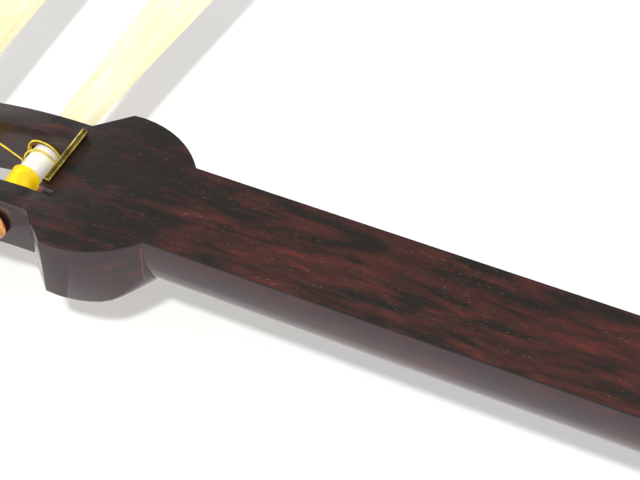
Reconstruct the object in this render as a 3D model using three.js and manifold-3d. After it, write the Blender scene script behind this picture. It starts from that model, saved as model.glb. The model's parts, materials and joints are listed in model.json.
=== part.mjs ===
// A long-necked three-string shamisen lying on its back, strings off the neck and wound on their pegs.
// Millimetres, +Z up. Everything is drawn in the instrument's own frame: x runs along the neck from the nut
// towards the sound box, y across it (the first string's side is -y), and z = 0 is the fingerboard.
// The group is then leant back until the head and the sound box both touch the ground, with the origin at
// the bottom centre.
import * as THREE from "three";
import { mergeVertices } from "three/addons/utils/BufferGeometryUtils.js";
import Module from "manifold-3d";

const wasm = await Module();
wasm.setup();

// ---- driving dimensions ----
const GAP = 0.3; // left between pieces that touch
const NECK_HALF_WIDTH = 15;
const NECK_WIDENING = 0.003; // half width gained per mm towards the sound box
const NECK_WALL = 5; // straight part of the neck's side
const NECK_DEPTH = 22.2;
const NECK_DEEPENING = 0.01;
const LOBE_END = 33.4; // where the two lobes run into the neck
const JOINT_1 = 222; // upper to middle neck
const JOINT_2 = 430; // middle to lower neck
const BODY_START = 624;
const BODY_LENGTH = 210;
const BODY_WIDTH = 195;
const BODY_DEPTH = 98;
const BODY_TOP = -7; // the sound box's front rim, below the fingerboard
const PANEL = 15; // thickness of its four boards
const PEGBOX_END = 81; // measured along the curved face, as the slot's end is
const SLOT_END = 75;
const SLOT_START = 1.6; // the slot's end beside the nut
const SLOT_HALF_WIDTH = 10.3;
const PEGBOX_HALF_WIDTH = 17.5;
const PEG_DEPTH = 10; // peg axes, below the front face
const PEGS = [
  { name: "first", x: -12.5, side: 1, droop: 2.8, splay: 0 },
  { name: "second", x: -35, side: -1, droop: 2, splay: 2 },
  { name: "third", x: -57, side: 1, droop: 1.3, splay: 4.5 },
]; // place along the neck, side of the handle, and its lean to the back and to the head in degrees

// colour, roughness and metalness
const MATERIALS = {
  rosewood: [0x3a1c1a, 0.35, 0],
  karin: [0x6b3418, 0.35, 0],
  skin: [0xe9dfc6, 0.55, 0],
  ivory: [0xf4ecd2, 0.3, 0],
  gold: [0xc9a24a, 0.25, 1],
  copper: [0xb9793c, 0.35, 1],
  string: [0xf0c818, 0.5, 0],
  brocade: [0x2b2350, 0.8, 0],
  tailcord: [0x6a2f7a, 0.8, 0],
};

// ---- helpers ----
function solid(geometry) {
  const g = geometry.index ? geometry.toNonIndexed() : geometry.clone();
  g.deleteAttribute("normal");
  g.deleteAttribute("uv");
  const merged = mergeVertices(g, 1e-4);
  return new wasm.Manifold(
    new wasm.Mesh({
      numProp: 3,
      vertProperties: merged.attributes.position.array,
      triVerts: new Uint32Array(merged.index.array),
    }),
  );
}

function geometryOf(manifold) {
  const mesh = manifold.getMesh();
  const g = new THREE.BufferGeometry();
  g.setAttribute("position", new THREE.BufferAttribute(mesh.vertProperties, 3));
  g.setIndex(new THREE.BufferAttribute(mesh.triVerts, 1));
  return g;
}

const instrument = new THREE.Group();

function piece(name, slot, shape, parent = instrument) {
  const geometry = shape.isBufferGeometry ? shape : geometryOf(shape);
  const [color, roughness, metalness] = MATERIALS[slot];
  const mesh = new THREE.Mesh(geometry, new THREE.MeshStandardMaterial({ color, roughness, metalness }));
  mesh.name = name;
  parent.add(mesh);
  return mesh;
}

function box(x0, x1, y0, y1, z0, z1) {
  const g = new THREE.BoxGeometry(x1 - x0, y1 - y0, z1 - z0);
  return solid(g.translate((x0 + x1) / 2, (y0 + y1) / 2, (z0 + z1) / 2));
}

// A closed solid through rings of equal length, each a convex outline. The first and the last get a fan.
function loft(rings) {
  const n = rings[0].length;
  const points = rings.flat();
  const index = [];
  for (let r = 0; r + 1 < rings.length; r++) {
    for (let i = 0; i < n; i++) {
      const a = r * n + i;
      const b = r * n + ((i + 1) % n);
      index.push(a, b, b + n, a, b + n, a + n);
    }
  }
  const cap = (start, flip) => {
    const centre = new THREE.Vector3();
    for (let i = 0; i < n; i++) centre.add(points[start + i]);
    points.push(centre.divideScalar(n));
    const c = points.length - 1;
    for (let i = 0; i < n; i++) {
      const a = start + i;
      const b = start + ((i + 1) % n);
      index.push(...(flip ? [c, a, b] : [c, b, a]));
    }
  };
  cap(0, false);
  cap((rings.length - 1) * n, true);
  const g = new THREE.BufferGeometry().setFromPoints(points);
  g.setIndex(index);
  const made = solid(g);
  if (made.volume() >= 0) return made;
  g.setIndex(index.reverse());
  return solid(g);
}

// A round piece turned about the y axis from [radius, y] pairs.
function turned(profile, segments = 28) {
  const points = profile.map(([r, y]) => new THREE.Vector2(r, y));
  const made = solid(new THREE.LatheGeometry(points, segments));
  if (made.volume() >= 0) return made;
  return solid(new THREE.LatheGeometry(points.reverse(), segments));
}

// The neck's cross-section: flat top, straight walls, and a rounded back.
function section(x, halfWidth, wall, depth, { steps = 14, power = 2.2, crown = 0 } = {}) {
  const ring = [new THREE.Vector3(x, 0, crown), new THREE.Vector3(x, -halfWidth, 0)];
  for (let i = 0; i <= steps; i++) {
    const t = (Math.PI * i) / steps;
    const y = -halfWidth * Math.sign(Math.cos(t)) * Math.abs(Math.cos(t)) ** (2 / power);
    ring.push(new THREE.Vector3(x, y, -wall - (depth - wall) * Math.sin(t) ** (2 / power)));
  }
  ring.push(new THREE.Vector3(x, halfWidth, 0));
  return ring;
}

// ---- the head's backward curve ----
const HEAD_RADIUS = 150; // over the pegbox
const TIP_RADIUS = 260; // beyond it
const CURVE_CHANGE = 85;

// Bends a point that lies beyond the nut back along two arcs, keeping its depth below the front face.
function bentPoint(point) {
  if (point.x >= 0) return point;
  const first = Math.min(-point.x, CURVE_CHANGE) / HEAD_RADIUS;
  const last = first + Math.max(0, -point.x - CURVE_CHANGE) / TIP_RADIUS;
  const along = HEAD_RADIUS * Math.sin(first) + TIP_RADIUS * (Math.sin(last) - Math.sin(first));
  const down = HEAD_RADIUS * (1 - Math.cos(first)) + TIP_RADIUS * (Math.cos(first) - Math.cos(last));
  const x = -along - point.z * Math.sin(last);
  return new THREE.Vector3(x, point.y, -down + point.z * Math.cos(last));
}

const bentLoft = (rings) => loft(rings.map((ring) => ring.map(bentPoint)));

// ---- neck ----
const PEGBOX_WALL = 16.6;
const PEGBOX_DEPTH = 18.8;
const neckHalfWidth = (x) => NECK_HALF_WIDTH + NECK_WIDENING * (x - LOBE_END);
const neckDepth = (x) => NECK_DEPTH + NECK_DEEPENING * (x - LOBE_END);
const neckSection = (x) => section(x, neckHalfWidth(x), NECK_WALL, neckDepth(x));

// A square bar along x, centred across the neck and grown by a clearance.
function bar(x0, x1, { halfWidth, top, bottom }, clearance = 0) {
  return box(x0, x1, -halfWidth - clearance, halfWidth + clearance, bottom - clearance, top + clearance);
}

// Rectangular tenon in two steps. With a clearance it is the mortise that takes it.
const TENON_BASE = { length: 18, halfWidth: 8, top: -5, bottom: -17 };
const TENON_TIP = { length: 36, halfWidth: 5.5, top: -7, bottom: -15 };
function tenon(x, clearance) {
  const start = clearance ? x - 5 : x - 2;
  const base = bar(start, x + TENON_BASE.length + clearance, TENON_BASE, clearance);
  return base.add(bar(start, x + TENON_TIP.length + clearance, TENON_TIP, clearance));
}

// The two lobes at the top of the neck: slanted shoulders from the pegbox, then round to the neck.
const LOBE = {
  cornerX: 8.7,
  cornerY: 26,
  centreX: 11.4,
  centreY: -1.4,
  radius: 27.6,
  wall: 19.3,
  depth: 23,
};
const LOBE_STEPS = 12;
const LOBE_RISE = 24; // where the lower edge starts to turn up to the neck
function lobes() {
  const l = LOBE;
  const rings = [
    section(-0.5, PEGBOX_HALF_WIDTH, PEGBOX_WALL, PEGBOX_DEPTH),
    section(0, PEGBOX_HALF_WIDTH, PEGBOX_WALL + 0.2, PEGBOX_DEPTH + 0.6),
    section(l.cornerX, l.cornerY, l.wall, l.depth),
  ];
  for (let i = 1; i <= LOBE_STEPS; i++) {
    const x = l.cornerX + (LOBE_END - l.cornerX) * Math.sin((Math.PI / 2) * (i / LOBE_STEPS));
    const halfWidth = l.centreY + Math.sqrt(l.radius ** 2 - (x - l.centreX) ** 2);
    const rise = Math.max(0, (x - LOBE_RISE) / (LOBE_END - LOBE_RISE));
    rings.push(section(x, halfWidth, l.wall - 8.5 * rise ** 2, l.depth - 0.7 * rise));
  }
  rings.push(section(LOBE_END + 1, neckHalfWidth(LOBE_END) - 0.6, 10, 21));
  return loft(rings);
}

// The pegbox's outside, which narrows a little towards the finial.
const PEGBOX_NARROWS_FROM = 55;
function pegbox() {
  const rings = [];
  const STATIONS = 15;
  for (let i = 0; i <= STATIONS; i++) {
    const x = 0.4 - ((PEGBOX_END + 0.4) * i) / STATIONS;
    const end = Math.max(0, (-x - PEGBOX_NARROWS_FROM) / (PEGBOX_END - PEGBOX_NARROWS_FROM));
    rings.push(section(x, PEGBOX_HALF_WIDTH - 1.5 * end * end, PEGBOX_WALL, PEGBOX_DEPTH));
  }
  return bentLoft(rings);
}

// The slot between the pegbox's walls, open to the front and to the back.
function slot() {
  const rings = [];
  const STATIONS = 10;
  const corners = [[-1, 4], [-1, -30], [1, -30], [1, 4]];
  for (let i = 0; i <= STATIONS; i++) {
    const x = -SLOT_START - ((SLOT_END - SLOT_START) * i) / STATIONS;
    rings.push(corners.map(([side, z]) => new THREE.Vector3(x, side * SLOT_HALF_WIDTH, z)));
  }
  return bentLoft(rings);
}

// Each peg's axis: its centre between the walls, and the direction from there to its handle.
function pegAxis({ x, side, droop, splay }) {
  const down = THREE.MathUtils.degToRad(droop);
  const back = THREE.MathUtils.degToRad(splay);
  const centre = new THREE.Vector3(x, 0, -(x * x) / (2 * HEAD_RADIUS) - PEG_DEPTH);
  const axis = new THREE.Vector3(-Math.sin(back), side * Math.cos(back), 0);
  return { centre, axis: axis.multiplyScalar(Math.cos(down)).setZ(-Math.sin(down)) };
}

// Places a piece turned about y on a peg's axis, its +y end being the handle's.
function placeOnPeg(object, peg) {
  const { centre, axis } = pegAxis(peg);
  const across = new THREE.Vector3().crossVectors(axis, new THREE.Vector3(0, 0, 1)).normalize();
  const basis = new THREE.Matrix4().makeBasis(across, axis, new THREE.Vector3().crossVectors(across, axis));
  object.position.copy(centre);
  object.quaternion.setFromRotationMatrix(basis);
  return object;
}

function onPeg(manifold, peg) {
  const holder = placeOnPeg(new THREE.Object3D(), peg);
  holder.updateMatrix();
  return solid(geometryOf(manifold).applyMatrix4(holder.matrix));
}

const SHAFT_TIP = 21.5; // how far the shaft reaches past the middle, away from the handle
const shaftRadius = (y) => 3.6 + 0.03 * y; // it tapers from the handle to the tip
const FERRULE = { handleTube: 5.1, handleRim: 6.6, tipTube: 4.3, tipRim: 5.4 };

// A flanged ferrule that lines a peg hole: its tube sits in the wall and its rim stands on the outer face.
function ferrule(peg, atHandle) {
  const side = atHandle ? 1 : -1;
  const inner = (y) => shaftRadius(side * y) + GAP;
  const tube = atHandle ? FERRULE.handleTube : FERRULE.tipTube;
  const rim = atHandle ? FERRULE.handleRim : FERRULE.tipRim;
  const a = SLOT_HALF_WIDTH + 0.5;
  const tilt = THREE.MathUtils.degToRad(Math.hypot(peg.droop, peg.splay));
  const b = PEGBOX_HALF_WIDTH + GAP + rim * Math.tan(tilt);
  const profile = [
    [inner(a), a],
    [tube, a],
    [tube, b],
    [rim, b],
    [rim - 0.3, b + 1],
    [tube - 0.2, b + 1.7],
    [inner(b) + 0.1, b + 1.7],
  ];
  return turned([...profile, profile[0]].map(([r, y]) => [r, side * y]), 24);
}

// The groove beside the nut that the first string lies in.
const VALLEY = { radius: 1.3, length: 6, y: -9.2, z: 0.4 };

function upperNeck() {
  let made = loft([neckSection(LOBE_END - 3), neckSection(LOBE_END + 60), neckSection(JOINT_1 - GAP / 2)]);
  made = made.add(lobes()).add(pegbox()).add(tenon(JOINT_1 - GAP / 2, 0));
  made = made.subtract(slot());
  const reach = 40;
  for (const peg of PEGS) {
    const wide = FERRULE.handleTube + GAP;
    const narrow = FERRULE.tipTube + GAP;
    made = made.subtract(onPeg(turned([[0, 0], [wide, 0], [wide, reach], [0, reach]], 24), peg));
    made = made.subtract(onPeg(turned([[0, -reach], [narrow, -reach], [narrow, 0], [0, 0]], 24), peg));
  }
  const valley = new THREE.CylinderGeometry(VALLEY.radius, VALLEY.radius, VALLEY.length, 16);
  return made.subtract(solid(valley.rotateZ(Math.PI / 2).translate(0, VALLEY.y, VALLEY.z)));
}

// The finial that closes the head: it flares from the pegbox to a blade with a bowed edge.
const FINIAL = { length: 70, halfWidth: 16, flare: 12.5, thinning: 8.5, crown: 1.6 };
function finial() {
  const rings = [];
  const start = PEGBOX_END + GAP;
  const STATIONS = 14;
  for (let i = 0; i <= STATIONS; i++) {
    const t = 0.5 - 0.5 * Math.cos((Math.PI * i) / STATIONS);
    const flare = THREE.MathUtils.smoothstep(t, 0.05, 0.8);
    const bow = t > 0.8 ? 1 - Math.sqrt(Math.max(0, 1 - ((t - 0.8) / 0.2) ** 2)) : 0;
    const halfWidth = FINIAL.halfWidth + FINIAL.flare * flare - 11 * bow;
    const depth = PEGBOX_DEPTH - FINIAL.thinning * t - 1.5 * bow;
    const crown = FINIAL.crown * flare * (1 - bow);
    rings.push(section(-start - FINIAL.length * t, halfWidth, depth * 0.45, depth, { crown }));
  }
  return bentLoft(rings);
}

function middleNeck() {
  const a = JOINT_1 + GAP / 2;
  const b = JOINT_2 - GAP / 2;
  return loft([neckSection(a), neckSection(b)]).add(tenon(b, 0)).subtract(mortise(a));
}

const LINER = 1; // thickness of the gold lining of each mortise
const mortise = (x) => tenon(x, GAP + LINER + GAP);

function mortiseLiner(x) {
  const outer = bar(x + 0.2, x + TENON_BASE.length - 2, TENON_BASE, GAP + LINER);
  return outer.subtract(bar(x - 5, x + TENON_BASE.length + 9, TENON_BASE, GAP));
}

// The bar in one piece with the lower neck that runs through the sound box, and its thinner tip, which
// comes out at the tail and holds the tail cord.
const TONGUE = { halfWidth: 12, top: -14, bottom: -33 };
const TONGUE_TIP = { halfWidth: 6, top: -17, bottom: -29, out: 24 };
const FOOT_DIP = { length: 22, depth: 6.5 }; // how the fingerboard dips to the sound box's rim

function lowerNeck() {
  const a = JOINT_2 + GAP / 2;
  const base = BODY_START - GAP; // the neck ends against the sound box
  const rings = [neckSection(a), neckSection(BODY_START - 70)];
  const STATIONS = 8;
  for (let i = 0; i <= STATIONS; i++) {
    const t = i / STATIONS;
    const x = base - FOOT_DIP.length * (1 - t);
    const ring = section(x, neckHalfWidth(x), NECK_WALL + 4 * t, neckDepth(x) + 7 * t * t);
    const dip = FOOT_DIP.depth * (1 - Math.sqrt(1 - t * t * 0.96));
    rings.push(ring.map((p, k) => (k < 2 || k === ring.length - 1 ? p.setZ(-dip) : p)));
  }
  const end = BODY_START + BODY_LENGTH;
  const tongue = bar(base - 2, end - PANEL - 6, TONGUE);
  const tip = bar(end - PANEL - 10, end + TONGUE_TIP.out, TONGUE_TIP);
  return loft(rings).add(tongue).add(tip).subtract(mortise(a));
}

// ---- sound box ----
const BODY_CENTRE = BODY_START + BODY_LENGTH / 2;
const SIDE_BOW = 4.5; // how far each side bows out, seen from the front
const DEPTH_BOW = 3.5; // and seen from the end
const SIDE_STEPS = 10;

// The outline of the sound box at a share of its depth (0 front, 1 back), pushed out by an offset.
function boxRing(share, z, offset) {
  const bulge = DEPTH_BOW * Math.sin(Math.PI * THREE.MathUtils.clamp(share, 0, 1)) + offset;
  const hx = BODY_LENGTH / 2 - SIDE_BOW - DEPTH_BOW + bulge;
  const hy = BODY_WIDTH / 2 - SIDE_BOW - DEPTH_BOW + bulge;
  const ring = [];
  const corners = [[-hx, -hy], [hx, -hy], [hx, hy], [-hx, hy]];
  for (let k = 0; k < 4; k++) {
    const [ax, ay] = corners[k];
    const [bx, by] = corners[(k + 1) % 4];
    const length = Math.hypot(bx - ax, by - ay);
    const nx = (by - ay) / length;
    const ny = -(bx - ax) / length;
    for (let i = 0; i < SIDE_STEPS; i++) {
      const t = i / SIDE_STEPS;
      const bow = SIDE_BOW * 4 * t * (1 - t);
      const x = BODY_CENTRE + ax + (bx - ax) * t + nx * bow;
      ring.push(new THREE.Vector3(x, ay + (by - ay) * t + ny * bow, z));
    }
  }
  return ring;
}

// The sound box as a solid block between two depths, pushed out by an offset.
function boxBlock(zTop, zBottom, offset, steps = 8) {
  const rings = [];
  for (let i = 0; i <= steps; i++) {
    const z = zTop + ((zBottom - zTop) * i) / steps;
    rings.push(boxRing((BODY_TOP - z) / BODY_DEPTH, z, offset));
  }
  return loft(rings);
}

const BODY_BOTTOM = BODY_TOP - BODY_DEPTH;

// Everything on one side of the two mitre planes: 0 tail end, 1 far side, 2 head end, 3 near side.
function mitreWedge(k) {
  const reach = 200;
  const shape = new THREE.Shape();
  const corner = [BODY_LENGTH / 2, BODY_WIDTH / 2];
  const angle = Math.atan2(corner[1], corner[0]);
  const middle = (k * Math.PI) / 2;
  const half = k % 2 ? Math.PI / 2 - angle : angle;
  const from = middle - half;
  const to = middle + half;
  const inset = GAP / 2 / Math.sin(half);
  const cx = BODY_CENTRE + inset * Math.cos(middle);
  const cy = inset * Math.sin(middle);
  shape.moveTo(cx, cy);
  shape.lineTo(cx + reach * Math.cos(from), cy + reach * Math.sin(from));
  shape.lineTo(cx + reach * Math.cos(to), cy + reach * Math.sin(to));
  shape.closePath();
  const g = new THREE.ExtrudeGeometry(shape, { depth: BODY_DEPTH + 20, bevelEnabled: false });
  return solid(g.translate(0, 0, BODY_BOTTOM - 10));
}

const PANEL_NAMES = ["panel_tail", "panel_far", "panel_head", "panel_near"];

// The four boards, mitred at the corners, with a hole for the tongue at the head and one at the tail.
function soundBox() {
  const end = BODY_START + BODY_LENGTH;
  const inner = { halfWidth: BODY_WIDTH / 2 - PANEL, top: BODY_TOP + 5, bottom: BODY_BOTTOM - 5 };
  const neckSeat = { halfWidth: 40, top: 0, bottom: -60 }; // flattens the bowed end board under the neck
  const shell = boxBlock(BODY_TOP, BODY_BOTTOM, 0)
    .subtract(bar(BODY_START + PANEL, end - PANEL, inner))
    .subtract(bar(BODY_START - 9, BODY_CENTRE, TONGUE, GAP))
    .subtract(bar(BODY_CENTRE, end + 9, TONGUE_TIP, GAP))
    .subtract(bar(BODY_START - 20, BODY_START + 0.1, neckSeat));
  return PANEL_NAMES.map((name, k) => [name, shell.intersect(mitreWedge(k))]);
}

const SKIN = 0.8;
const SKIN_LAP = 9; // how far each skin laps down the side

// A skin: a shallow lid over the front rim or the back rim, notched round the foot of the neck.
function skin(front) {
  const rim = front ? BODY_TOP : BODY_BOTTOM;
  const out = front ? 1 : -1;
  const outer = GAP + SKIN;
  const outside = boxBlock(rim + outer * out, rim - SKIN_LAP * out, outer, 3);
  const inside = boxBlock(rim + GAP * out, rim - (SKIN_LAP + 1) * out, GAP, 3);
  const notch = { halfWidth: 19, top: BODY_TOP - 0.2, bottom: -60 };
  return outside.subtract(inside).subtract(bar(BODY_START - 20, BODY_START + 9, notch));
}

// The stiff cloth-covered arm guard on the near side, with a lip over the front rim.
const GUARD = { half: 78, clearance: 0.1, thick: 2.4, lip: 13, shortOfBack: 6 };
function armGuard() {
  const inner = GAP + SKIN + GAP + GUARD.clearance;
  const front = BODY_TOP + GAP + SKIN + GAP;
  const back = BODY_BOTTOM + SKIN_LAP + GUARD.shortOfBack;
  const outside = boxBlock(front + GUARD.thick, back, inner + GUARD.thick, 10);
  const shell = outside.subtract(boxBlock(front, back - 1, inner, 10));
  const [x0, x1] = [BODY_CENTRE - GUARD.half, BODY_CENTRE + GUARD.half];
  return shell.intersect(box(x0, x1, -BODY_WIDTH, GUARD.lip - BODY_WIDTH / 2, BODY_BOTTOM - 10, 10));
}

// The tail cord: a flat braided band up the end board and over the front skin's edge, hung on the
// tongue's tip by a square loop.
const TAIL = { halfWidth: 7, thick: 3.4, reach: 46 };
function tailCord() {
  const top = BODY_TOP + GAP + SKIN + GAP;
  const end = BODY_START + BODY_LENGTH;
  const face = end + GAP + SKIN + GAP;
  const foot = TONGUE_TIP.top + 1;
  const shape = new THREE.Shape();
  shape.moveTo(end - TAIL.reach, top);
  shape.lineTo(face - 3.5, top);
  shape.lineTo(face + 0.2, top - 3);
  shape.lineTo(face + 0.4, foot);
  shape.lineTo(face + TAIL.thick + 0.6, foot);
  shape.lineTo(face + TAIL.thick + 0.2, top - 1);
  shape.lineTo(face - 1, top + TAIL.thick);
  shape.lineTo(end - TAIL.reach, top + TAIL.thick);
  shape.closePath();
  const band = new THREE.ExtrudeGeometry(shape, { depth: 2 * TAIL.halfWidth, bevelEnabled: false });
  const strap = solid(band.rotateX(Math.PI / 2).translate(0, TAIL.halfWidth, 0));
  const hole = GAP + 0.2; // clearance of the loop on the tongue's tip
  const loop = bar(face + 0.4, face + TAIL.thick + 0.6, TONGUE_TIP, hole + TAIL.thick);
  return strap.add(loop.subtract(bar(face - 5, face + TAIL.thick + 9, TONGUE_TIP, hole)));
}

// ---- pegs and strings ----
// Distances from where the handle meets the ferrule, and the handle's half width across its flats there.
const HANDLE_START = 20.4;
const HANDLE = [
  [0, 3.9],
  [1.5, 4.2],
  [12, 4.45],
  [30, 5.1],
  [50, 5.8],
  [70, 6.6],
  [90, 7.5],
  [103, 8.2],
  [107.5, 8.1],
  [110.5, 6.9],
  [112, 4.6],
];

// A peg: a tapering round shaft through the pegbox, and a six-sided handle that flares to a domed end.
function pegSolid() {
  const shaftEnd = HANDLE_START + 1.6;
  const shaft = turned(
    [
      [0, -SHAFT_TIP],
      [shaftRadius(-SHAFT_TIP) - 0.5, -SHAFT_TIP],
      [shaftRadius(-SHAFT_TIP), 0.6 - SHAFT_TIP],
      [shaftRadius(shaftEnd), shaftEnd],
      [0, shaftEnd],
    ],
    24,
  );
  const SIDES = 6;
  const POINTS = 24;
  const rings = HANDLE.map(([distance, half]) => {
    const ring = [];
    const faceting = THREE.MathUtils.smoothstep(distance, 2, 14); // round at first, then six-sided
    for (let i = 0; i < POINTS; i++) {
      const angle = (i / POINTS) * Math.PI * 2;
      const fromFlat = ((angle + Math.PI / SIDES) % ((2 * Math.PI) / SIDES)) - Math.PI / SIDES;
      const r = half * (1 + (1 / Math.cos(fromFlat) - 1) * faceting);
      ring.push(new THREE.Vector3(r * Math.cos(angle), HANDLE_START + distance, r * Math.sin(angle)));
    }
    return ring;
  });
  return shaft.add(loft(rings));
}

// The turns of string on a shaft, from y = a to y = b, as one plain sleeve that is fuller at the b end.
function windingSleeve(a, b, fullness) {
  const STEPS = 5;
  const profile = [];
  const least = 0.2;
  for (let i = 0; i <= STEPS; i++) {
    const t = i / STEPS;
    const y = a + (b - a) * t;
    profile.push([shaftRadius(y) + GAP + least + (fullness - least) * Math.min(1, t * 1.15), y]);
  }
  profile.push([shaftRadius(b) + GAP, b + 0.4], [shaftRadius(a) + GAP, a]);
  return turned([...profile, profile[0]], 24);
}

// A slack end of string: from the second peg to the first, and loosely round that bare shaft.
const THREAD_RADIUS = 0.28;
const THREAD_START = [
  [-35.5, 8.8, -9.6],
  [-30, 7.9, -7.4],
  [-24, 6.8, -7.2],
  [-19, 6, -8.4],
];
// Turns round the shaft, and there the distance along it and how far the string stands off it.
const THREAD_STATIONS = [
  [0.46, 6, 0.12],
  [0.75, 7.8, 0.12],
  [1, 8.7, 0.15],
  [1.25, 8.1, 0.12],
  [1.45, 7.4, 0.12],
  [1.75, 8.6, 0.15],
  [2, 9.8, 1.2],
  [2.1, 9.9, 1.9],
  [2.3, 9.9, 1.8],
  [2.47, 9.8, 0.3],
];
function looseEnd() {
  const points = THREAD_START.map((place) => new THREE.Vector3(...place));
  const { centre, axis } = pegAxis(PEGS[0]);
  const last = THREAD_STATIONS.length - 1;
  const [from, to] = [THREAD_STATIONS[0][0], THREAD_STATIONS[last][0]];
  const STEPS = 42;
  for (let i = 0; i <= STEPS; i++) {
    const turn = from + ((to - from) * i) / STEPS;
    const k = Math.min(last, Math.max(1, THREAD_STATIONS.findIndex((station) => station[0] >= turn)));
    const [a, b] = [THREAD_STATIONS[k - 1], THREAD_STATIONS[k]];
    const share = THREE.MathUtils.smoothstep(turn, a[0], b[0]);
    const y = THREE.MathUtils.lerp(a[1], b[1], share);
    const r = shaftRadius(y) + GAP + THREAD_RADIUS + THREE.MathUtils.lerp(a[2], b[2], share);
    const angle = 2 * Math.PI * turn;
    const p = new THREE.Vector3(r * Math.cos(angle), 0, r * Math.sin(angle));
    points.push(p.add(centre).addScaledVector(axis, y));
  }
  const curve = new THREE.CatmullRomCurve3(points);
  const thread = new THREE.Shape();
  thread.absarc(0, 0, THREAD_RADIUS, 0, Math.PI * 2);
  return solid(new THREE.ExtrudeGeometry(thread, { steps: 76, curveSegments: 4, extrudePath: curve }));
}

// The nut: a gilt bar set towards the second and third strings.
const NUT = { from: -7.2, to: 13.8, half: 1.15, wall: 0.8 };
function nut() {
  const shape = new THREE.Shape();
  shape.moveTo(-NUT.half, GAP);
  shape.absarc(0, GAP + NUT.wall, NUT.half, Math.PI, 0, true);
  shape.lineTo(NUT.half, GAP);
  shape.closePath();
  const depth = NUT.to - NUT.from;
  const length = new THREE.ExtrudeGeometry(shape, { depth, curveSegments: 12, bevelEnabled: false });
  return length.rotateX(Math.PI / 2).translate(0, NUT.to, 0);
}

// ---- assembly ----
piece("upper_neck", "rosewood", upperNeck());
piece("head_finial", "rosewood", finial());
piece("middle_neck", "rosewood", middleNeck());
piece("lower_neck", "rosewood", lowerNeck());
piece("mortise_liner_upper", "gold", mortiseLiner(JOINT_1 + GAP / 2));
piece("mortise_liner_lower", "gold", mortiseLiner(JOINT_2 + GAP / 2));

piece("nut", "gold", nut());
for (const [name, shape] of soundBox()) piece(name, "karin", shape);
piece("front_skin", "skin", skin(true));
piece("back_skin", "skin", skin(false));
piece("arm_guard", "brocade", armGuard());
piece("tail_cord", "tailcord", tailCord());

const WINDINGS = { first: [-9.7, 1, 0.6], second: [-9.6, 3.5, 0.8], third: [-9.6, 1.5, 0.7] };
for (const peg of PEGS) {
  placeOnPeg(piece(`peg_${peg.name}`, "ivory", pegSolid()), peg);
  placeOnPeg(piece(`ferrule_${peg.name}_handle`, "copper", ferrule(peg, true)), peg);
  placeOnPeg(piece(`ferrule_${peg.name}_tip`, "copper", ferrule(peg, false)), peg);
  placeOnPeg(piece(`string_${peg.name}_winding`, "string", windingSleeve(...WINDINGS[peg.name])), peg);
}
piece("string_loose_end", "string", looseEnd());

// ---- lean the instrument back onto its head, and put the origin at the bottom centre ----
const shamisen = new THREE.Group();
shamisen.add(instrument);

function lowest(name) {
  const p = new THREE.Vector3();
  const mesh = instrument.getObjectByName(name);
  mesh.updateWorldMatrix(true, false);
  const positions = mesh.geometry.attributes.position;
  let low = new THREE.Vector3(0, 0, Infinity);
  for (let i = 0; i < positions.count; i++) {
    p.fromBufferAttribute(positions, i).applyMatrix4(mesh.matrixWorld);
    if (p.z < low.z) low = p.clone();
  }
  return low;
}

for (let pass = 0; pass < 6; pass++) {
  const head = lowest("head_finial");
  const body = lowest("back_skin");
  instrument.rotation.y += Math.atan2(body.z - head.z, body.x - head.x);
}
const bounds = new THREE.Box3().setFromObject(instrument, true);
const centre = bounds.getCenter(new THREE.Vector3());
instrument.position.sub(new THREE.Vector3(centre.x, centre.y, bounds.min.z));

export default shamisen;
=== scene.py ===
"""A three-string shamisen lying on its back, seen close up at the lobes where its neck meets the pegbox."""

import json
import math

import bmesh
import bpy
from mathutils import Matrix, Vector


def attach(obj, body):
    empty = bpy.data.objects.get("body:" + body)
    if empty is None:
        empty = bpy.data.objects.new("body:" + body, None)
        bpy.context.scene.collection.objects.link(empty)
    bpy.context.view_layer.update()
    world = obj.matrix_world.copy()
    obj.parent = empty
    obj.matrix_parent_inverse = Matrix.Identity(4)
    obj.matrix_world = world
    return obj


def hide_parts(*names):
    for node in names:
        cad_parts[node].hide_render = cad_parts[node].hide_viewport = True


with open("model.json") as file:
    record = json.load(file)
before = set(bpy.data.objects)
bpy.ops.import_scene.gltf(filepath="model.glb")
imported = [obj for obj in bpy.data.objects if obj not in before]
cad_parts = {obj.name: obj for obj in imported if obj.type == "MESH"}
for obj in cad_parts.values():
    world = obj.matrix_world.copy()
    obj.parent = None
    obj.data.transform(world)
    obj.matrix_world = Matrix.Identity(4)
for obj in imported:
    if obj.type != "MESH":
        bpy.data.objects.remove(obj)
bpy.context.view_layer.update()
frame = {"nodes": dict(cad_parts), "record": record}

MM = 0.001

# ---- the instrument's own frame ----
# x runs along the neck from the nut, y across it, and z = 0 is the fingerboard. The instrument leans in
# the row's frame, and the fingerboard's mount says by how much and where it is.
FINGERBOARD_X = 0.120  # metres from the nut to the mount's point
mounts = {mount["name"]: mount for mount in frame["record"]["mounts"]}
UP = Vector(mounts["fingerboard"]["axis"]).normalized()
ACROSS = Vector((0, 1, 0))
ALONG = ACROSS.cross(UP)
NUT = Vector(mounts["fingerboard"]["pos_m"]) - FINGERBOARD_X * ALONG
TO_ROW = Matrix.Translation(NUT) @ Matrix((ALONG, ACROSS, UP)).transposed().to_4x4()
TO_INSTRUMENT = TO_ROW.inverted()


def place(x, y, z):
    """A point given in the instrument's millimetres, in the row's metres."""
    return TO_ROW @ (Vector((x, y, z)) * MM)


def ease(share):
    """A share from 0 to 1, eased in and out."""
    return share * share * (3 - 2 * share)


# ---- camera ----
CAMERA_PLACE = (232.1, -311.7, 379.9)  # in the instrument's millimetres, as its target is
CAMERA_TARGET = (75.2, 5.1, 0)
CAMERA_ROLL = -1.153  # degrees
LENS = 112.55


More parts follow.
